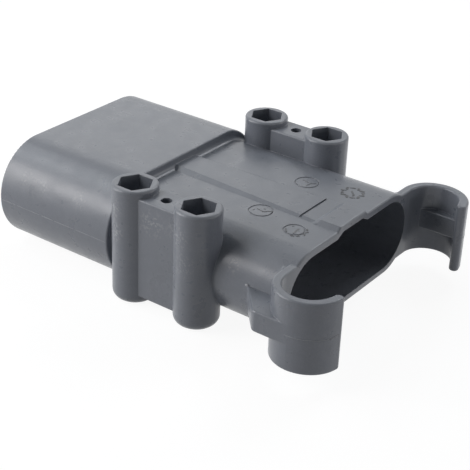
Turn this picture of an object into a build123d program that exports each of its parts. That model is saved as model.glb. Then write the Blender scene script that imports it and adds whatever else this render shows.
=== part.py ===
from build123d import *
import math
import os

os.makedirs("parts", exist_ok=True)

# Frame: the origin is the centre of the four bolt holes, on the plane of the post bottoms.
# X runs towards the cable mouth, Z is up, and the housing is symmetric about the XZ plane.

# Mounting posts
post_row_gap = 92.0
post_pitch = 32.6
post_radius = 9.75
post_height = 52.7
post_foot_round = 4.0
post_top_round = 1.1
nut_across_flats = 13.3
nut_depth = 8.0
bolt_hole_diameter = 8.6

# Web between the two posts of a side
web_thickness = 13.4
web_top_z = 49.8
web_bottom_z = 5.0
web_edge_round = 0.8
web_hole_diameter = 4.7
web_hole_depth = 14.0

# Shroud round the mating face
shroud_rear_x = -89.6
shroud_front_x = -27.1
shroud_half_width = 51.85
shroud_half_height = 23.25
shroud_wall = 3.0
shroud_rim_round = 0.5

# Shoulder where the shroud steps down to the body
shoulder_side_step = 3.25
shoulder_top_step = 4.65
shoulder_edge_round = 0.8
shoulder_foot_round = 2.2

# Cable mouth at the end of the body
mouth_x = 59.8
mouth_side_wall = 3.9
mouth_top_wall = 3.0
mouth_depth = 33.0
mouth_edge_round = 0.9

# Raised ridge along the middle of the body top, lower and wider towards the mouth
ridge_rear_height = 1.5
ridge_rear_foot = 9.2
ridge_rear_flank = 2.8
ridge_front_height = 0.7
ridge_front_foot = 11.4
ridge_front_flank = 1.2
ridge_slot_x = 40.8
ridge_slot_width = 1.1
ridge_slot_half_length = 10.8
ridge_slot_floor = 0.1
ridge_sunk = 1.0

# Bulge at the mouth end of the ridge, over the channel in the mouth's roof
bulge_height = 1.7
bulge_flank = 2.1
bulge_rear_x = 46.9
bulge_ramp = 2.8
bulge_start_height = 0.5

# Channel along the roof of the mouth, under the ridge
roof_channel_height = 2.1
roof_channel_foot = 11.4
roof_channel_flank = 4.0
roof_channel_sunk = 2.0

# C-shaped clip at each side of the mouth
clip_inner_radius = 10.9
clip_outer_radius = 14.6
clip_centre_inset = 1.3
clip_half_height = 15.7
clip_root_depth = 12.6
clip_root_round = 2.2
clip_bead_radius = 2.1
clip_bead_reach = 13.1
clip_bead_back = 1.2
clip_edge_round = 0.9

# Gusset band between the body side and the clip, also filling the back of the clip
band_half_height = 4.6
band_rear_x = 42.4
band_rear_inset = 0.5
band_corner_x = 54.8
band_corner_round = 3.0
band_pad_depth = 7.9
band_edge_round = 0.8
band_sunk = 3.0

# Wall across the housing between mating face and cable side
bulkhead_rear_x = -38.0
bulkhead_front_x = -24.0
flange_seat_depth = 6.0

# Main contacts
contact_gap = 50.0
pin_radius = 7.0
pin_tip_x = -78.0
pin_tip_round = 3.0
flange_radius = 10.4
flange_thickness = 4.0
barrel_radius = 9.9
barrel_end_x = 10.0
crimp_bore_radius = 7.2
crimp_bore_depth = 30.0
sight_hole_radius = 2.0
chamber_radius = 12.5
bore_clearance = 0.3

# Retaining ring of a main contact
ring_thickness = 1.2
ring_groove_depth = 0.5
ring_groove_play = 0.2
ring_radius = 9.4
ring_gap_half_angle = 24.0
ring_lug_radius = 2.2
ring_lug_hole_radius = 0.9
ring_lug_out = 0.4
ring_lug_spread = 1.3
ring_recess_depth = 2.0
ring_recess_radius = 12.3

# Coding pin between the main contacts
coding_flats = 10.8
coding_clearance = 0.2
coding_drop = 4.0
coding_tip_x = -70.0
coding_tip_chamfer = 1.2
coding_head_radius = 7.8
coding_head_thickness = 3.0
coding_tail = 4.0
washer_thickness = 0.8
washer_radius = 8.6

# Carrier with the two pilot contacts
carrier_half_width = 8.8
carrier_low = 5.0
carrier_high = 14.2
carrier_tip_x = -54.0
carrier_tail = 12.0
carrier_clearance = 0.2
pilot_gap = 8.4
pilot_pin_radius = 1.25
pilot_pin_out = 10.0
pilot_tip_round = 0.875
pilot_body_radius = 2.0
pilot_body_length = 14.0
pilot_barrel_radius = 1.7
pilot_barrel_length = 9.0
pilot_barrel_bore = 1.1
pilot_barrel_floor = 2.0
pilot_clearance = 0.1

# Middle channel behind the bulkhead
channel_half_width = 9.3
channel_low = 13.0
channel_high = 15.0

# Mould marks on the body top: centre x, centre y, radius
mark_groove_width = 0.7
mark_depth = 0.3
marks = [
    (25.0, -15.6, 5.3),
    (44.9, -20.5, 4.7),
    (24.9, 18.6, 5.4),
]

# How far a cutter runs past the face it cuts, and a joined solid into its neighbour
margin = 1.0

# Derived places
mid_z = shroud_half_height
post_y = post_row_gap / 2
post_x = post_pitch / 2
body_half_width = shroud_half_width - shoulder_side_step
body_half_height = shroud_half_height - shoulder_top_step
mouth_half_width = body_half_width - mouth_side_wall
mouth_half_height = body_half_height - mouth_top_wall
body_top_z = mid_z + body_half_height
chamber_end_x = mouth_x - mouth_depth
clip_centre_x = mouth_x + clip_inner_radius
clip_centre_y = body_half_width - clip_centre_inset
clip_root_y = body_half_width - clip_root_depth
band_rear_y = body_half_width - band_rear_inset
band_outer_y = clip_centre_y + clip_outer_radius
band_pad_y = band_outer_y - band_pad_depth
contact_y = contact_gap / 2
flange_seat_x = bulkhead_front_x - flange_seat_depth
ring_seat_x = bulkhead_rear_x + ring_recess_depth
groove_radius = pin_radius - ring_groove_depth
coding_z = mid_z - coding_drop
carrier_low_z = mid_z + carrier_low
carrier_high_z = mid_z + carrier_high
carrier_mid_z = (carrier_low_z + carrier_high_z) / 2
carrier_end_x = bulkhead_front_x + carrier_tail
pilot_shoulder_x = carrier_end_x - pilot_body_length


def cross_plane(x, y=0.0, z=mid_z):
    return Plane(origin=(x, y, z), x_dir=(0, 1, 0), z_dir=(1, 0, 0))


def stadium_face(x, half_width, half_height):
    return (cross_plane(x) * SlotOverall(2 * half_width, 2 * half_height)).face()


def stadium_bar(x0, x1, half_width, half_height):
    return extrude(stadium_face(x0, half_width, half_height), x1 - x0)


def rod(x0, x1, radius, y=0.0, z=mid_z):
    low = (Align.CENTER, Align.CENTER, Align.MIN)
    return cross_plane(x0, y, z) * Cylinder(radius, x1 - x0, align=low)


def block(x0, x1, y0, y1, z0, z1):
    middle = Pos((x0 + x1) / 2, (y0 + y1) / 2, (z0 + z1) / 2)
    return middle * Box(x1 - x0, y1 - y0, z1 - z0)


def hex_bar(x0, x1, across_flats, y, z):
    shape = RegularPolygon(across_flats / 2, 6, major_radius=False)
    return extrude(cross_plane(x0, y, z) * shape, x1 - x0)


def edges_at_z(part, z):
    return part.edges().filter_by_position(Axis.Z, z - 0.01, z + 0.01)


def edges_at_x(part, x):
    return part.edges().filter_by_position(Axis.X, x - 0.01, x + 0.01)


def both_sides(part):
    return part + mirror(part, about=Plane.XZ)


def trapezoid_face(x, foot, crown, base, height):
    points = [(-foot, base), (foot, base), (crown, base + height), (-crown, base + height)]
    return (cross_plane(x) * make_face(Polyline(*points, close=True))).face()


def ridge_face(x, foot, flank, height):
    # The foot is sunk into the body top so that the two join.
    spread = flank * ridge_sunk / height
    base = body_half_height - ridge_sunk
    return trapezoid_face(x, foot + spread, foot - flank, base, ridge_sunk + height)


def make_ridge():
    rear = ridge_face(shroud_front_x, ridge_rear_foot, ridge_rear_flank, ridge_rear_height)
    front = ridge_face(mouth_x, ridge_front_foot, ridge_front_flank, ridge_front_height)
    crest_x = bulge_rear_x + bulge_ramp
    start = ridge_face(bulge_rear_x, ridge_front_foot, bulge_flank, bulge_start_height)
    crest = ridge_face(crest_x, ridge_front_foot, bulge_flank, bulge_height)
    bulge = loft([start, crest]) + extrude(crest, mouth_x - crest_x)
    return loft([rear, front]) + bulge


def make_roof_channel():
    # The foot is sunk into the open mouth so that no skin is left between the two.
    foot = roof_channel_foot + roof_channel_flank * roof_channel_sunk / roof_channel_height
    crown = roof_channel_foot - roof_channel_flank
    base = mouth_half_height - roof_channel_sunk
    height = roof_channel_sunk + roof_channel_height
    section = trapezoid_face(chamber_end_x, foot, crown, base, height)
    return extrude(section, mouth_x + margin - chamber_end_x)


def make_shell():
    shroud = stadium_bar(shroud_rear_x, shroud_front_x, shroud_half_width, shroud_half_height)
    shroud = fillet(edges_at_x(shroud, shroud_rear_x), shroud_rim_round)
    shroud = fillet(edges_at_x(shroud, shroud_front_x), shoulder_edge_round)
    shell = shroud + stadium_bar(shroud_front_x, mouth_x, body_half_width, body_half_height)
    shoulder = shell.faces().filter_by(Axis.X).sort_by(Axis.X)[1]
    foot = shoulder.inner_wires()[0].edges()
    shell = fillet(foot, shoulder_foot_round) + make_ridge()
    return fillet(edges_at_x(shell, mouth_x), mouth_edge_round)


def make_post(x):
    low = (Align.CENTER, Align.CENTER, Align.MIN)
    post = Pos(x, post_y, 0) * Cylinder(post_radius, post_height, align=low)
    post = fillet(edges_at_z(post, 0), post_foot_round)
    return fillet(edges_at_z(post, post_height), post_top_round)


def make_web():
    y0 = post_y - web_thickness / 2
    y1 = post_y + web_thickness / 2
    web = block(-post_x, post_x, y0, y1, web_bottom_z, web_top_z)
    long_edges = edges_at_z(web, web_top_z).filter_by(Axis.X)
    return fillet(long_edges, web_edge_round)


def make_post_pair():
    return make_post(post_x) + make_post(-post_x) + make_web()


def make_post_holes():
    low = (Align.CENTER, Align.CENTER, Align.MIN)
    nut = RegularPolygon(nut_across_flats / 2, 6, major_radius=False)
    nut = extrude(nut, nut_depth + margin)
    hole = Cylinder(bolt_hole_diameter / 2, post_height + 2 * margin, align=low)
    web_hole = Cylinder(web_hole_diameter / 2, web_hole_depth + margin, align=low)
    cut = Pos(0, post_y, web_top_z - web_hole_depth) * web_hole
    for x in (-post_x, post_x):
        cut += Pos(x, post_y, post_height - nut_depth) * nut
        cut += Pos(x, post_y, -margin) * hole
    return both_sides(cut)


def make_clip():
    # The front half is an ellipse outside, so that the bead is flush with the outer face.
    plane = Plane.XY.offset(mid_z - clip_half_height)
    centre = Pos(clip_centre_x, clip_centre_y)
    front_x = clip_bead_reach + clip_bead_radius
    rear = Pos(-clip_outer_radius, 0) * Rectangle(2 * clip_outer_radius, 3 * clip_outer_radius)
    ring = (Circle(clip_outer_radius) & rear) + (Ellipse(front_x, clip_outer_radius) - rear)
    ring = centre * (ring - Circle(clip_inner_radius))
    outer_half = Pos(clip_centre_x, clip_centre_y + clip_outer_radius)
    ring = ring & (outer_half * Rectangle(3 * clip_outer_radius, 2 * clip_outer_radius))
    wall = clip_outer_radius - clip_inner_radius
    root_length = clip_centre_y - clip_root_y
    root_x = clip_centre_x - clip_inner_radius - wall / 2
    root = Pos(root_x, clip_root_y + root_length / 2) * Rectangle(wall, root_length)
    bead = Pos(clip_centre_x + clip_bead_reach, clip_centre_y + clip_bead_back)
    bead = bead * Circle(clip_bead_radius)
    front_low = Pos(clip_centre_x + clip_outer_radius, clip_centre_y)
    ring = ring - front_low * Rectangle(2 * clip_outer_radius, 2 * clip_bead_back)
    clip = extrude(plane * (ring + root + bead), 2 * clip_half_height)
    clip = fillet(edges_at_z(clip, mid_z + clip_half_height), clip_edge_round)
    return fillet(edges_at_z(clip, mid_z - clip_half_height), clip_edge_round)


def outer_rim_edges(band):
    # The rims of the faces turned away from the body: the slanted end, its corner and the side.
    rims = []
    for z in (mid_z - band_half_height, mid_z + band_half_height):
        corner = (band_corner_x, band_outer_y, z)
        rims += edges_at_z(band, z).sort_by_distance(corner)[:3]
    return rims


def make_band():
    # The gusset goes on into the body, and the pad into the clip wall, so that they join.
    plane = Plane.XY.offset(mid_z - band_half_height)
    run = band_corner_x - band_rear_x
    rise = band_outer_y - band_rear_y
    sunk_x = band_rear_x - run * band_sunk / rise
    sunk_y = band_rear_y - band_sunk
    joining = Pos(clip_centre_x, clip_centre_y) * Circle(clip_inner_radius + margin / 2)
    points = [(sunk_x, sunk_y), (band_corner_x, band_outer_y), (clip_centre_x, band_outer_y)]
    points.append((clip_centre_x, clip_centre_y))
    points.append((mouth_x - margin, sunk_y))
    gusset = make_face(Polyline(*points, close=True)) - joining
    band = extrude(plane * gusset, 2 * band_half_height)
    corner = band.edges().filter_by(Axis.Z).sort_by_distance((band_corner_x, band_outer_y, mid_z))
    band = fillet(corner[0], band_corner_round)
    band = fillet(outer_rim_edges(band), band_edge_round)
    pad_zone = Pos(clip_centre_x, band_pad_y + clip_outer_radius)
    pad = joining & (pad_zone * Rectangle(2 * clip_outer_radius, 2 * clip_outer_radius))
    pad = extrude(plane * pad, 2 * band_half_height)
    front = pad.faces().filter_by(Axis.Y).sort_by(Axis.Y)[0]
    pad = fillet(front.edges().filter_by(Axis.X), band_edge_round)
    return band + pad


def make_side_bores(side):
    y = side * contact_y
    cut = rod(bulkhead_rear_x - margin, bulkhead_front_x, pin_radius + bore_clearance, y)
    cut += rod(flange_seat_x, bulkhead_front_x + margin, flange_radius + bore_clearance, y)
    cut += rod(bulkhead_front_x, chamber_end_x + margin, chamber_radius, y)
    cut += rod(bulkhead_rear_x - margin, ring_seat_x, ring_recess_radius, y)
    return cut


def make_cavities():
    inner_width = shroud_half_width - shroud_wall
    inner_height = shroud_half_height - shroud_wall
    cut = stadium_bar(shroud_rear_x - margin, bulkhead_rear_x, inner_width, inner_height)
    cut += stadium_bar(chamber_end_x, mouth_x + margin, mouth_half_width, mouth_half_height)
    cut += make_roof_channel()
    cut += make_side_bores(1)
    cut += make_side_bores(-1)
    cut += block(
        bulkhead_front_x, chamber_end_x + margin,
        -channel_half_width, channel_half_width,
        mid_z - channel_low, mid_z + channel_high,
    )
    coding_hole = coding_flats + 2 * coding_clearance
    cut += hex_bar(bulkhead_rear_x - margin, bulkhead_front_x + margin, coding_hole, 0, coding_z)
    cut += block(
        bulkhead_rear_x - margin, bulkhead_front_x + margin,
        -carrier_half_width - carrier_clearance, carrier_half_width + carrier_clearance,
        carrier_low_z - carrier_clearance, carrier_high_z + carrier_clearance,
    )
    return cut


def make_top_marks():
    floor_z = body_top_z - mark_depth
    cut = block(
        ridge_slot_x - ridge_slot_width / 2, ridge_slot_x + ridge_slot_width / 2,
        -ridge_slot_half_length, ridge_slot_half_length,
        body_top_z + ridge_slot_floor, body_top_z + ridge_rear_height + margin,
    )
    for x, y, radius in marks:
        ring = Circle(radius) - Circle(radius - mark_groove_width)
        cut += Pos(x, y, floor_z) * extrude(ring, mark_depth + margin)
    return cut


def make_clip_root_fillet():
    # The hollow corner between the back of a clip and the round side of the body.
    side_centre_y = body_half_width - body_half_height
    back_x = clip_centre_x - clip_outer_radius
    size = clip_root_round
    corner_y = side_centre_y + body_half_height
    square = Pos(back_x, corner_y) * Rectangle(2 * size, 2 * size)
    hollow = Pos(back_x - size, corner_y + size) * Circle(size)
    section = Plane.XY.offset(mid_z) * (square - hollow)
    turned = revolve(section, Axis((0, side_centre_y, mid_z), (1, 0, 0)))
    reach = clip_half_height - clip_edge_round
    zone = block(
        back_x - 2 * size, back_x + margin / 2,
        clip_root_y, corner_y + size, mid_z - reach, mid_z + reach,
    )
    return turned & zone


def make_housing():
    shell = make_shell() + both_sides(make_clip() + make_clip_root_fillet())
    shell += both_sides(make_post_pair() + make_band())
    shell -= make_cavities()
    shell -= make_post_holes()
    return shell - make_top_marks()


def make_contact(side):
    y = side * contact_y
    pin = rod(pin_tip_x, flange_seat_x, pin_radius, y)
    pin = fillet(edges_at_x(pin, pin_tip_x), pin_tip_round)
    flange_end_x = flange_seat_x + flange_thickness
    part = pin + rod(flange_seat_x, flange_end_x, flange_radius, y)
    part += rod(flange_end_x, barrel_end_x, barrel_radius, y)
    bore_end_x = barrel_end_x - crimp_bore_depth
    part -= rod(bore_end_x, barrel_end_x + margin, crimp_bore_radius, y)
    groove_rear_x = ring_seat_x - ring_thickness
    groove = rod(groove_rear_x, ring_seat_x + ring_groove_play, pin_radius + margin, y)
    groove -= rod(groove_rear_x - margin, ring_seat_x + margin, groove_radius, y)
    part -= groove
    sight_x = bore_end_x + 2 * sight_hole_radius
    low = (Align.CENTER, Align.CENTER, Align.MIN)
    sight = Cylinder(sight_hole_radius, barrel_radius + margin, align=low)
    return part - Pos(sight_x, y, mid_z) * sight


def make_ring(side):
    y = side * contact_y
    x0 = ring_seat_x - ring_thickness
    plane = cross_plane(x0, y)
    ring = Circle(ring_radius) - Circle(groove_radius)
    half = math.radians(ring_gap_half_angle)
    reach = 2 * ring_radius
    wedge = [(0, 0), (reach * math.sin(half), reach * math.cos(half))]
    wedge.append((-reach * math.sin(half), reach * math.cos(half)))
    ring = ring - make_face(Polyline(*wedge, close=True))
    middle = (ring_radius + groove_radius) / 2 + ring_lug_out
    turn = half + ring_lug_spread * ring_lug_radius / middle
    for sign in (-1, 1):
        place = Pos(sign * middle * math.sin(turn), middle * math.cos(turn))
        ring = ring + (place * Circle(ring_lug_radius) - Circle(groove_radius))
    for sign in (-1, 1):
        place = Pos(sign * middle * math.sin(turn), middle * math.cos(turn))
        ring = ring - place * Circle(ring_lug_hole_radius)
    return extrude(plane * ring, ring_thickness)


def make_coding_pin():
    end_x = bulkhead_front_x + coding_head_thickness
    part = hex_bar(coding_tip_x, bulkhead_front_x, coding_flats, 0, coding_z)
    part = chamfer(edges_at_x(part, coding_tip_x), coding_tip_chamfer)
    part += rod(bulkhead_front_x, end_x, coding_head_radius, 0, coding_z)
    return part + hex_bar(end_x, end_x + coding_tail, coding_flats, 0, coding_z)


def make_coding_washer():
    x0 = bulkhead_rear_x - washer_thickness
    part = rod(x0, bulkhead_rear_x, washer_radius, 0, coding_z)
    return part - hex_bar(x0 - margin, bulkhead_rear_x + margin, coding_flats, 0, coding_z)


def make_carrier():
    part = block(
        carrier_tip_x, carrier_end_x,
        -carrier_half_width, carrier_half_width, carrier_low_z, carrier_high_z,
    )
    for sign in (-1, 1):
        y = sign * pilot_gap / 2
        pin_bore = pilot_pin_radius + pilot_clearance
        body_bore = pilot_body_radius + pilot_clearance
        part -= rod(carrier_tip_x - margin, carrier_end_x, pin_bore, y, carrier_mid_z)
        part -= rod(pilot_shoulder_x, carrier_end_x + margin, body_bore, y, carrier_mid_z)
    return part


def make_pilot(side):
    y = side * pilot_gap / 2
    z = carrier_mid_z
    tip_x = carrier_tip_x - pilot_pin_out
    pin = rod(tip_x, pilot_shoulder_x, pilot_pin_radius, y, z)
    pin = fillet(edges_at_x(pin, tip_x), pilot_tip_round)
    part = pin + rod(pilot_shoulder_x, carrier_end_x, pilot_body_radius, y, z)
    barrel_end = carrier_end_x + pilot_barrel_length
    part += rod(carrier_end_x, barrel_end, pilot_barrel_radius, y, z)
    bore_end = carrier_end_x + pilot_barrel_floor
    return part - rod(bore_end, barrel_end + margin, pilot_barrel_bore, y, z)


parts = {
    "housing": make_housing(),
    "main_contact_positive": make_contact(1),
    "main_contact_negative": make_contact(-1),
    "contact_ring_positive": make_ring(1),
    "contact_ring_negative": make_ring(-1),
    "coding_pin": make_coding_pin(),
    "coding_pin_washer": make_coding_washer(),
    "pilot_carrier": make_carrier(),
    "pilot_contact_left": make_pilot(1),
    "pilot_contact_right": make_pilot(-1),
}

for name, part in parts.items():
    part.label = name
    export_step(part, f"parts/{name}.step")
    print(name, len(part.solids()), round(part.volume), part.is_valid)
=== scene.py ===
import math

import bmesh
import bpy
from mathutils import Matrix, Vector


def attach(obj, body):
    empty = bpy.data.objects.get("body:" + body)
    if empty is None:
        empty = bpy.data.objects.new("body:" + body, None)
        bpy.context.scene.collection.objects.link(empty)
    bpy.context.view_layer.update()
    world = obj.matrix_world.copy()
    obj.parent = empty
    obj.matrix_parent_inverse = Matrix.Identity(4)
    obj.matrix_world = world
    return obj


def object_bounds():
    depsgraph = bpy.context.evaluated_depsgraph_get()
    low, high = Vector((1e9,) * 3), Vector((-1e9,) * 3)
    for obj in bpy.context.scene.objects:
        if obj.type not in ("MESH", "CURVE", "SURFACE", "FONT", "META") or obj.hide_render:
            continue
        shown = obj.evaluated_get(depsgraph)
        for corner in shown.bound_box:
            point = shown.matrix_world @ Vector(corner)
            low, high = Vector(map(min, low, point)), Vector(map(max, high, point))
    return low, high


# The CAD parts, in metres: X runs towards the cable mouth, Z is up.
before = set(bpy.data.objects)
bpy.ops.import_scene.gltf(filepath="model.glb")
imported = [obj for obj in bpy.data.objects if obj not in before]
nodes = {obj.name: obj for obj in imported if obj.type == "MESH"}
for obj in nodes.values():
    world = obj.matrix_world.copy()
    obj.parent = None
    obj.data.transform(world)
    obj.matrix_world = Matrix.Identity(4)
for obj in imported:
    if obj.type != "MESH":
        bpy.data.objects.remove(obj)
cad_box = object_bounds()
MM = 0.001

# Camera, fitted to the photograph's perspective: roll in degrees, lens in mm
CAMERA_PLACE = Vector((281.0, -392.32, 276.94)) * MM
CAMERA_AIM = Vector((-0.24, -1.31, 17.67)) * MM
CAMERA_ROLL = 2.225
CAMERA_LENS = 96.06
CAMERA_SHIFT = (0.0097, -0.0089)

# Places on the housing that the CAD doesn't name
MID_Z = 23.25 * MM
BODY_TOP_Z = 41.85 * MM
SHROUD_SIDE_Y = 51.85 * MM
CLIP_CENTRE = (70.7 * MM, 47.3 * MM)
CLIP_REACH = 14.6 * MM
CLIP_MOUTH_REACH = 15.2 * MM
GUSSET_TIP_RIGHT = Vector((42.4, -48.1, 27.85)) * MM

# Colours, linear
WHITE = (1.0, 1.0, 1.0)
GREY = (0.198, 0.213, 0.244)
# Lighter grey of the housing's edges: wear, and a painted highlight along them
WORN_AND_HIGHLIGHT_GREY = (0.36, 0.37, 0.40)
SCUFF_GREY = (0.46, 0.47, 0.49)
# Darker grey of the mould marks: painted shade along their raised strokes
MARK_PAINTED_SHADE_GREY = (0.085, 0.090, 0.100)
# Lighter grey of the flash and burrs: a painted highlight where their thin edges catch the
# light
FLASH_HIGHLIGHT_GREY = (0.40, 0.41, 0.44)
SILVER = (0.80, 0.79, 0.76)
TARNISH = (0.46, 0.42, 0.35)
STEEL = (0.40, 0.40, 0.41)
RUST = (0.20, 0.13, 0.09)
CODING_GREY = (0.52, 0.52, 0.49)
BLACK = (0.030, 0.031, 0.034)

# A Mix node has a set of sockets for each kind of value: these are the ones for colours.
MIX_SHARE, MIX_A, MIX_B, MIX_RESULT = 0, 6, 7, 2

# Cosine between the true and the rounded normal, at a sharp edge and on an open face
SHARP_TURN = 0.72
FLAT_TURN = 0.99
BEVEL_SAMPLES = 6


class Shader:
    """A material whose node tree is built up call by call."""

    def __init__(self, name):
        self.material = bpy.data.materials.new(name)
        self.material.use_nodes = True
        self.tree = self.material.node_tree
        self.surface = self.tree.nodes["Principled BSDF"]
        self.place = self.tree.nodes.new("ShaderNodeTexCoord").outputs["Object"]

    def put(self, value, socket):
        if isinstance(value, bpy.types.NodeSocket):
            self.tree.links.new(value, socket)
        elif isinstance(value, tuple) and len(value) == 3 and socket.type == "RGBA":
            socket.default_value = (*value, 1.0)
        else:
            socket.default_value = value

    def node(self, kind, inputs, **settings):
        node = self.tree.nodes.new(kind)
        for key, value in settings.items():
            setattr(node, key, value)
        for key, value in inputs.items():
            self.put(value, node.inputs[key])
        return node

    def dress(self, inputs):
        """Sets inputs of the surface and returns the material."""
        for key, value in inputs.items():
            self.put(value, self.surface.inputs[key])
        return self.material

    def noise(self, scale, detail, stretch=(1.0, 1.0, 1.0)):
        place = self.node("ShaderNodeMapping", {"Vector": self.place, "Scale": stretch})
        inputs = {"Vector": place.outputs[0], "Scale": scale, "Detail": detail}
        return self.node("ShaderNodeTexNoise", inputs).outputs["Fac"]

    def spread(self, value, low, high, start=0.0, end=1.0):
        """Spreads the values from low to high over start to end."""
        inputs = {
            "Value": value,
            "From Min": low,
            "From Max": high,
            "To Min": start,
            "To Max": end,
        }
        node = self.node("ShaderNodeMapRange", inputs, interpolation_type="SMOOTHSTEP")
        return node.outputs[0]

    def grain(self, scale, detail, *ranges):
        """Noise with more contrast: the ranges are those of spread."""
        return self.spread(self.noise(scale, detail), *ranges)

    def mix(self, share, a, b):
        inputs = {MIX_SHARE: share, MIX_A: a, MIX_B: b}
        return self.node("ShaderNodeMix", inputs, data_type="RGBA").outputs[MIX_RESULT]

    def times(self, a, b):
        return self.node("ShaderNodeMath", {0: a, 1: b}, operation="MULTIPLY").outputs[0]

    def bump(self, height, distance, normal):
        inputs = {"Height": height, "Distance": distance, "Normal": normal}
        return self.node("ShaderNodeBump", inputs).outputs[0]

    def rounded(self, radius):
        node = self.node("ShaderNodeBevel", {"Radius": radius}, samples=BEVEL_SAMPLES)
        return node.outputs[0]

    def edges(self, radius):
        """1 on sharp outer and inner edges, 0 on open faces."""
        shading = self.node("ShaderNodeNewGeometry", {}).outputs["Normal"]
        inputs = {0: self.rounded(radius), 1: shading}
        turn = self.node("ShaderNodeVectorMath", inputs, operation="DOT_PRODUCT")
        return self.spread(turn.outputs["Value"], SHARP_TURN, FLAT_TURN, 1.0, 0.0)

    def near(self, centre, radius):
        """1 at the centre, falling to 0 at the radius."""
        inputs = {0: self.place, 1: centre}
        distance = self.node("ShaderNodeVectorMath", inputs, operation="DISTANCE")
        return self.spread(distance.outputs["Value"], 0.0, radius, 1.0, 0.0)


def scaled(colour, share):
    return tuple(c * share for c in colour)


# Grains of the moulded plastic: scale and detail of the noise, the range of it that counts,
# and the range over which that is spread, where it isn't 0 to 1
CLOUDS = (38.0, 3.0, 0.30, 0.70)
MOTTLE = (330.0, 4.0, 0.32, 0.68)
SPECKS = (1500.0, 2.0, 0.40, 0.72)
# The edge grain spreads the lighter edges: wear, and a painted highlight
EDGE_WEAR_AND_HIGHLIGHT = (420.0, 3.0, 0.30, 0.75, 0.25, 0.85)
FLAKES = (900.0, 3.0, 0.50, 0.64)
PLASTIC_ROUGHNESS = (160.0, 4.0, 0.25, 0.75, 0.26, 0.36)

# Their brightness as a share of the plastic's colour, and how much of them shows
CLOUD_DARK = 0.96
CLOUD_LIGHT = 1.03
MOTTLE_LIGHT = 1.07
MOTTLE_STRENGTH = 0.5
SPECK_LIGHT = 1.30
SPECK_STRENGTH = 0.22
# Lighter edges where no grey is given: wear, and a painted highlight
WORN_AND_HIGHLIGHT_LIGHT = 1.2

# Relief of the moulded plastic: scale and detail of the noise, depth
PLASTIC_RELIEF = (
    (70.0, 2.0, 0.20 * MM),
    (620.0, 2.0, 0.03 * MM),
    (1500.0, 1.0, 0.015 * MM),
)
PLASTIC_EDGE_ROUND = 0.35 * MM
PLASTIC_WEAR_AND_HIGHLIGHT_REACH = 0.45 * MM
PLASTIC_GLOSS = 0.5

# Small light scuffs that the photograph shows: place in mm, size in mm, strength
SCUFFS = (
    ((-77.0, -47.5, 36.0), 5.0, 0.45),
    ((-66.0, -48.0, 35.0), 4.5, 0.50),
    ((-45.0, -47.5, 35.5), 6.0, 0.40),
    ((-22.0, -54.0, 44.0), 9.0, 0.70),
    ((-20.0, -55.0, 33.0), 7.0, 0.75),
    ((-2.0, -52.7, 41.0), 9.0, 0.50),
    ((12.0, -55.0, 42.0), 9.0, 0.60),
    ((16.0, -55.7, 30.0), 8.0, 0.40),
    ((34.0, -46.5, 33.0), 5.0, 0.50),
)


def scuffed(s, shade, scuffs):
    """The shade with light flakes at each of the scuffs."""
    flakes = s.grain(*FLAKES)
    for centre, size, strength in scuffs:
        mask = s.times(s.near(Vector(centre) * MM, size * MM), flakes)
        shade = s.mix(s.times(mask, strength), shade, SCUFF_GREY)
    return shade


def moulded_plastic(name, colour, worn=None, scuffs=()):
    """Moulded plastic: faint flow clouds, a mottled fine grain, lighter edges for wear and a
    painted highlight, scuffs.
    """
    s = Shader(name)
    shade = s.mix(s.grain(*CLOUDS), scaled(colour, CLOUD_DARK), scaled(colour, CLOUD_LIGHT))
    mottle = s.times(s.grain(*MOTTLE), MOTTLE_STRENGTH)
    shade = s.mix(mottle, shade, scaled(colour, MOTTLE_LIGHT))
    specks = s.times(s.grain(*SPECKS), SPECK_STRENGTH)
    shade = s.mix(specks, shade, scaled(colour, SPECK_LIGHT))
    # Lighter sharp edges: wear, and a painted highlight along them
    wear_and_highlight = s.times(s.edges(PLASTIC_WEAR_AND_HIGHLIGHT_REACH), s.grain(*EDGE_WEAR_AND_HIGHLIGHT))
    shade = s.mix(wear_and_highlight, shade, worn or scaled(colour, WORN_AND_HIGHLIGHT_LIGHT))
    if scuffs:
        shade = scuffed(s, shade, scuffs)
    normal = s.rounded(PLASTIC_EDGE_ROUND)
    for scale, detail, depth in PLASTIC_RELIEF:
        normal = s.bump(s.noise(scale, detail), depth, normal)
    return s.dress({
        "Base Color": shade,
        "Roughness": s.grain(*PLASTIC_ROUGHNESS),
        "Normal": normal,
        "Specular IOR Level": PLASTIC_GLOSS,
    })


# Turned metal: patches of tarnish (a grain as above), and tool marks
TARNISH_PATCHES = (140.0, 5.0, 0.48, 0.72)
TARNISH_STRENGTH = 0.55
TARNISH_ROUGHENS = 0.22
TOOL_MARKS = (900.0, 2.0, (6.0, 0.15, 0.15))
TOOL_MARK_DEPTH = 0.012 * MM
METAL_EDGE_ROUND = 0.2 * MM
SILVER_ROUGHNESS = 0.24
STEEL_ROUGHNESS = 0.34


def turned_metal(name, colour, dull, roughness):
    """Metal turned on a lathe along X, with fine tool marks and patches of tarnish."""
    s = Shader(name)
    patches = s.grain(*TARNISH_PATCHES)
    rough = s.spread(patches, 0.0, 1.0, roughness, roughness + TARNISH_ROUGHENS)
    edge = s.rounded(METAL_EDGE_ROUND)
    return s.dress({
        "Base Color": s.mix(s.times(patches, TARNISH_STRENGTH), colour, dull),
        "Metallic": 1.0,
        "Roughness": rough,
        "Normal": s.bump(s.noise(*TOOL_MARKS), TOOL_MARK_DEPTH, edge),
    })


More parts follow.
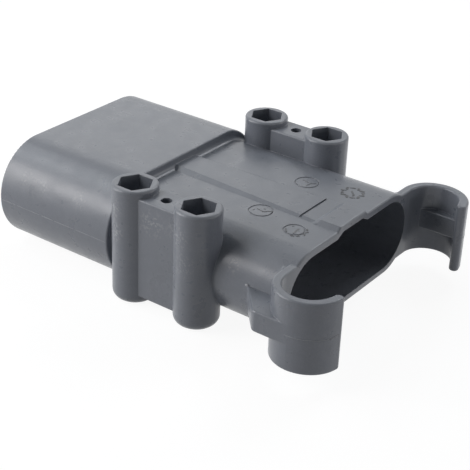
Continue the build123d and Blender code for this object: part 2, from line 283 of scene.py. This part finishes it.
def finish_cad_nodes():
    plastic = moulded_plastic("housing_grey", GREY, WORN_AND_HIGHLIGHT_GREY, SCUFFS)
    silver = turned_metal("silver_plate", SILVER, TARNISH, SILVER_ROUGHNESS)
    steel = turned_metal("spring_steel", STEEL, RUST, STEEL_ROUGHNESS)
    coding = moulded_plastic("coding_grey", CODING_GREY)
    carrier = moulded_plastic("carrier_black", BLACK)
    finishes = {
        "housing": plastic,
        "main_contact_positive": silver,
        "main_contact_negative": silver,
        "contact_ring_positive": steel,
        "contact_ring_negative": steel,
        "coding_pin": coding,
        "coding_pin_washer": steel,
        "pilot_carrier": carrier,
        "pilot_contact_left": silver,
        "pilot_contact_right": silver,
    }
    for node, material in finishes.items():
        for place in nodes[node].material_slots:
            place.material = material


def make_object(name, mesh, material):
    """Makes an object from a finished bmesh."""
    data = bpy.data.meshes.new(name)
    mesh.to_mesh(data)
    mesh.free()
    data.materials.append(material)
    thing = bpy.data.objects.new(name, data)
    bpy.context.scene.collection.objects.link(thing)
    return thing


def add_piece(name, mesh, material):
    """Makes a piece of the housing, which rides on it, from a finished bmesh."""
    bmesh.ops.recalc_face_normals(mesh, faces=mesh.faces)
    piece = make_object(name, mesh, material)
    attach(piece, "root")


def bridge(mesh, loops):
    """Joins loops of points, all of one length, into a tube with capped ends."""
    rings = [[mesh.verts.new(p) for p in loop] for loop in loops]
    count = len(rings[0])
    for a, b in zip(rings, rings[1:]):
        for i in range(count):
            mesh.faces.new((a[i], a[(i + 1) % count], b[(i + 1) % count], b[i]))
    mesh.faces.new(rings[0])
    mesh.faces.new(reversed(rings[-1]))


# Raised strokes of the mould marks: height above the body top, share of the full width
STROKE_LEVELS = (
    (-0.15 * MM, 1.0),
    (0.072 * MM, 1.0),
    (0.12 * MM, 0.6),
)
STROKE_END_POINTS = 7


def polar(centre, radius, degrees):
    angle = math.radians(degrees)
    return Vector(centre) + radius * Vector((math.cos(angle), math.sin(angle)))


def stroke(mesh, start, end, width):
    """A raised bar with round ends on the body top, from start to end, all in mm."""
    run = Vector(end) - Vector(start)
    turn = math.degrees(math.atan2(run.y, run.x))
    loops = []
    for height, share in STROKE_LEVELS:
        loop = []
        for centre, first in ((end, turn - 90.0), (start, turn + 90.0)):
            for i in range(STROKE_END_POINTS):
                degrees = first + 180.0 * i / (STROKE_END_POINTS - 1)
                spot = polar(centre, share * width / 2, degrees) * MM
                loop.append((spot.x, spot.y, BODY_TOP_Z + height))
        loops.append(loop)
    bridge(mesh, loops)


# The side stroke of a worn figure: place, length and width as shares of the main stroke's
# size and width, and how much it leans, in degrees
SIDE_PLACE = 0.3
SIDE_LENGTH = 0.45
SIDE_WIDTH = 0.9
SIDE_LEAN = -20.0


def worn_figure(mesh, centre, degrees, size, width):
    """A small worn, unreadable figure: a stroke through the centre and a side stroke."""
    start = polar(centre, size / 2, degrees)
    stroke(mesh, start, polar(centre, size / 2, degrees + 180.0), width)
    side = polar(centre, size * SIDE_PLACE, degrees + 90.0)
    end = polar(side, size * SIDE_LENGTH, degrees + SIDE_LEAN)
    stroke(mesh, side, end, width * SIDE_WIDTH)


# Pointers of the mould marks, in mm: start, end, width
ARROW_POINTER = (
    ((26.2, -15.9), (29.0, -13.3), 0.75),
    ((22.9, -15.2), (26.2, -15.9), 0.50),
    ((25.2, -13.6), (25.6, -13.4), 0.60),
    ((22.2, -17.3), (22.5, -16.7), 0.45),
)
CLOCK_POINTER = (
    ((46.3, -23.2), (45.9, -19.2), 0.95),
    ((41.5, -21.9), (43.4, -23.9), 0.60),
    ((42.6, -18.6), (43.0, -18.2), 0.50),
)
HALF_POINTER = (
    ((22.4, 19.4), (25.4, 18.7), 0.60),
    ((26.4, 15.7), (26.9, 18.9), 0.50),
    ((26.9, 18.9), (28.5, 19.9), 0.40),
)
WHEEL_POINTER = (
    ((44.3, 23.6), (46.6, 21.3), 0.95),
    ((46.6, 21.3), (46.8, 20.4), 0.95),
)

# Figures round two of the marks, in mm and degrees: centre, radius, angles, size, width
CLOCK_FIGURES = ((44.9, -20.5), 5.2, (-66.0, -40.0, -12.0, 12.0, 38.0), 1.3, 0.65)
WHEEL_FIGURES = ((45.2, 22.8), 4.5, range(0, 360, 30), 1.7, 0.95)

# A figure's own turn, in degrees: the first angle, and the gain per degree round the mark
FIGURE_TURN = 20.0
FIGURE_TURN_GAIN = 3.0


def add_mark(name, material, pointer, figures=None):
    mesh = bmesh.new()
    for start, end, width in pointer:
        stroke(mesh, start, end, width)
    if figures:
        centre, radius, angles, size, width = figures
        for degrees in angles:
            turn = FIGURE_TURN_GAIN * degrees + FIGURE_TURN
            worn_figure(mesh, polar(centre, radius, degrees), turn, size, width)
    add_piece(name, mesh, material)


def add_mould_marks(material):
    add_mark("mould_mark_arrow", material, ARROW_POINTER)
    add_mark("mould_mark_clock", material, CLOCK_POINTER, CLOCK_FIGURES)
    add_mark("mould_mark_half", material, HALF_POINTER)
    add_mark("mould_mark_wheel", material, WHEEL_POINTER, WHEEL_FIGURES)


# Flash along the mould's parting plane, in a lighter grey that is a painted highlight
FLASH_WIDTH = 0.30 * MM
FLASH_HEIGHT = 0.10 * MM

# Where it shows: stretches along X on the sides of the shroud, in mm, and angles round a clip
SHROUD_FLASH_RUNS = (
    (-88.9, -80.5),
    (-79.5, -66.0),
    (-64.5, -58.0),
    (-57.0, -46.0),
    (-44.5, -28.0),
)
CLIP_FLASH_DEGREES = range(6, 103, 3)


def flash_line(mesh, points, width=FLASH_WIDTH, height=FLASH_HEIGHT):
    """A low ridge through (place, outward direction) pairs."""
    up = Vector((0.0, 0.0, width / 2))
    loops = []
    for spot, outward in points:
        foot = spot - outward * height
        loops.append((foot - up, spot + outward * height, foot + up))
    bridge(mesh, loops)


def clip_spot(side, degrees, rise=0.0):
    """A place on a clip's outer face and the way out of it; 0 degrees is the mouth end."""
    angle = math.radians(degrees)
    outward = Vector((math.cos(angle), side * math.sin(angle), 0.0))
    reach = CLIP_MOUTH_REACH if degrees < 90 else CLIP_REACH
    x = CLIP_CENTRE[0] + reach * outward.x
    y = side * CLIP_CENTRE[1] + CLIP_REACH * outward.y
    return Vector((x, y, MID_Z + rise)), outward


def add_flash(material):
    for side, word in ((1, "left"), (-1, "right")):
        mesh = bmesh.new()
        outward = Vector((0.0, side, 0.0))
        for run in SHROUD_FLASH_RUNS:
            spots = [Vector((x * MM, side * SHROUD_SIDE_Y, MID_Z)) for x in run]
            flash_line(mesh, [(spot, outward) for spot in spots])
        add_piece("shroud_flash_" + word, mesh, material)

        mesh = bmesh.new()
        flash_line(mesh, [clip_spot(side, degrees) for degrees in CLIP_FLASH_DEGREES])
        add_piece("clip_flash_" + word, mesh, material)


# Small burrs on the right side, in the lighter grey of the flash, a painted highlight. The
# clip's: degrees round it, rise above the parting plane
CLIP_BURR = ((24.0, -0.10 * MM), (19.0, 0.15 * MM), (13.0, 0.45 * MM), (7.0, 0.50 * MM))
CLIP_BURR_WIDTH = 0.80 * MM
CLIP_BURR_HEIGHT = 0.30 * MM
GUSSET_BURR_SIZE = (1.0 * MM, 0.6 * MM, 0.6 * MM)
GUSSET_BURR_SUBDIVISIONS = 3


def add_burrs(material):
    mesh = bmesh.new()
    points = [clip_spot(-1, degrees, rise) for degrees, rise in CLIP_BURR]
    flash_line(mesh, points, CLIP_BURR_WIDTH, CLIP_BURR_HEIGHT)
    add_piece("clip_burr_right", mesh, material)

    mesh = bmesh.new()
    size = Matrix.Diagonal((*GUSSET_BURR_SIZE, 1.0))
    bmesh.ops.create_icosphere(
        mesh,
        subdivisions=GUSSET_BURR_SUBDIVISIONS,
        radius=1.0,
        matrix=Matrix.Translation(GUSSET_TIP_RIGHT) @ size,
    )
    add_piece("gusset_burr_right", mesh, material)


def seen_share(tree):
    """1 where a ray comes from the camera, a reflection or transmission, 0 for other rays."""
    path = tree.nodes.new("ShaderNodeLightPath")
    share = path.outputs["Is Camera Ray"]
    for ray in ("Is Glossy Ray", "Is Transmission Ray"):
        either = tree.nodes.new("ShaderNodeMath")
        either.operation = "MAXIMUM"
        tree.links.new(share, either.inputs[0])
        tree.links.new(path.outputs[ray], either.inputs[1])
        share = either.outputs[0]
    return share


# Floor: half its width, how far it lies below the part, and its paper, which lights the part
FLOOR_REACH = 3.0
FLOOR_DROP = 0.02 * MM
PAPER_WHITE = (0.60, 0.60, 0.61)
PAPER_ROUGHNESS = 0.9

# The floor as it is seen: near white by itself, with just enough paper to show a shadow
FLOOR_GLOW = 0.92
SHADOW_PAPER = (0.15, 0.15, 0.15)


def floor_paper():
    s = Shader("floor_paper")
    material = s.dress({"Base Color": PAPER_WHITE, "Roughness": PAPER_ROUGHNESS})
    glow = s.node("ShaderNodeEmission", {"Color": WHITE, "Strength": FLOOR_GLOW})
    paper = s.node("ShaderNodeBsdfDiffuse", {"Color": SHADOW_PAPER})
    seen = s.node("ShaderNodeAddShader", {0: glow.outputs[0], 1: paper.outputs[0]})
    inputs = {0: seen_share(s.tree), 1: s.surface.outputs[0], 2: seen.outputs[0]}
    both = s.node("ShaderNodeMixShader", inputs)
    s.put(both.outputs[0], s.tree.nodes["Material Output"].inputs["Surface"])
    return material


def add_floor():
    mesh = bmesh.new()
    bmesh.ops.create_grid(mesh, x_segments=1, y_segments=1, size=FLOOR_REACH)
    floor = make_object("floor", mesh, floor_paper())
    floor.location.z = cad_box[0].z - FLOOR_DROP


# Faint light from all round; what is seen of the world is white.
WORLD_COLOUR = (0.94, 0.97, 1.0)
WORLD_STRENGTH = 0.01


def light_world():
    world = bpy.data.worlds.new("studio")
    bpy.context.scene.world = world
    world.use_nodes = True
    tree = world.node_tree
    back = tree.nodes["Background"]
    back.inputs["Color"].default_value = (*WORLD_COLOUR, 1.0)
    back.inputs["Strength"].default_value = WORLD_STRENGTH
    white = tree.nodes.new("ShaderNodeBackground")
    white.inputs["Color"].default_value = (*WHITE, 1.0)
    both = tree.nodes.new("ShaderNodeMixShader")
    tree.links.new(seen_share(tree), both.inputs[0])
    tree.links.new(back.outputs[0], both.inputs[1])
    tree.links.new(white.outputs[0], both.inputs[2])
    tree.links.new(both.outputs[0], tree.nodes["World Output"].inputs["Surface"])


# Soft studio lamps, all of one size and at one distance from the part, in metres
LAMP_SIZE = (0.40, 0.30)
LAMP_DISTANCE = 0.9
LAMP_AIM = Vector((0.0, 0.0, 0.02))

# Colours of the lamps
WARM = (1.0, 0.98, 0.98)
WARMEST = (1.0, 0.98, 0.97)
COOL = (0.96, 1.0, 1.03)
COOLEST = (0.96, 1.0, 1.04)

# Azimuth (0 is from -Y, 90 from +X) and elevation in degrees, watts, colour
LAMPS = {
    "low_left": (300.0, 11.0, 2.3, WARMEST),
    "front_left": (316.0, 31.0, 2.4, WARM),
    "high_left": (294.0, 46.0, 0.8, COOL),
    "left": (272.0, 48.0, 0.8, COOL),
    "high_back": (178.0, 46.0, 1.6, COOLEST),
    "top_back": (210.0, 66.0, 0.4, COOLEST),
    "right": (84.0, 12.0, 0.5, WARM),
    "back_right": (122.0, 14.0, 1.1, WARM),
    "back_left": (225.0, 28.0, 0.3, WHITE),
}


def add_lamp(name, azimuth, elevation, watts, colour):
    """A soft rectangular lamp turned to the object's middle."""
    lamp = bpy.data.lights.new(name, "AREA")
    lamp.shape = "RECTANGLE"
    lamp.size, lamp.size_y = LAMP_SIZE
    lamp.energy = watts
    lamp.color = colour
    holder = bpy.data.objects.new(name, lamp)
    turn, rise = math.radians(azimuth), math.radians(elevation)
    level = math.cos(rise)
    outward = Vector((level * math.sin(turn), -level * math.cos(turn), math.sin(rise)))
    holder.location = LAMP_DISTANCE * outward
    aim = LAMP_AIM - holder.location
    holder.rotation_euler = aim.to_track_quat("-Z", "Y").to_euler()
    bpy.context.scene.collection.objects.link(holder)


def add_lamps():
    for name, values in LAMPS.items():
        add_lamp(name, *values)


def add_camera():
    data = bpy.data.cameras.new("camera")
    data.lens = CAMERA_LENS
    data.shift_x, data.shift_y = CAMERA_SHIFT
    camera = bpy.data.objects.new("camera", data)
    look = (CAMERA_AIM - CAMERA_PLACE).to_track_quat("-Z", "Y").to_matrix()
    turned = look @ Matrix.Rotation(math.radians(CAMERA_ROLL), 3, "Z")
    camera.matrix_world = Matrix.Translation(CAMERA_PLACE) @ turned.to_4x4()
    bpy.context.scene.collection.objects.link(camera)
    bpy.context.scene.camera = camera


bpy.context.scene.view_settings.view_transform = "Standard"
finish_cad_nodes()
# The mould marks are drawn in a darker grey, which is painted shade
add_mould_marks(moulded_plastic("mark_painted_shade_grey", MARK_PAINTED_SHADE_GREY))
# The flash and burrs are drawn in a lighter grey, which is a painted highlight
flash = moulded_plastic("flash_painted_highlight_grey", FLASH_HIGHLIGHT_GREY)
add_flash(flash)
add_burrs(flash)
add_floor()
light_world()
add_lamps()
add_camera()
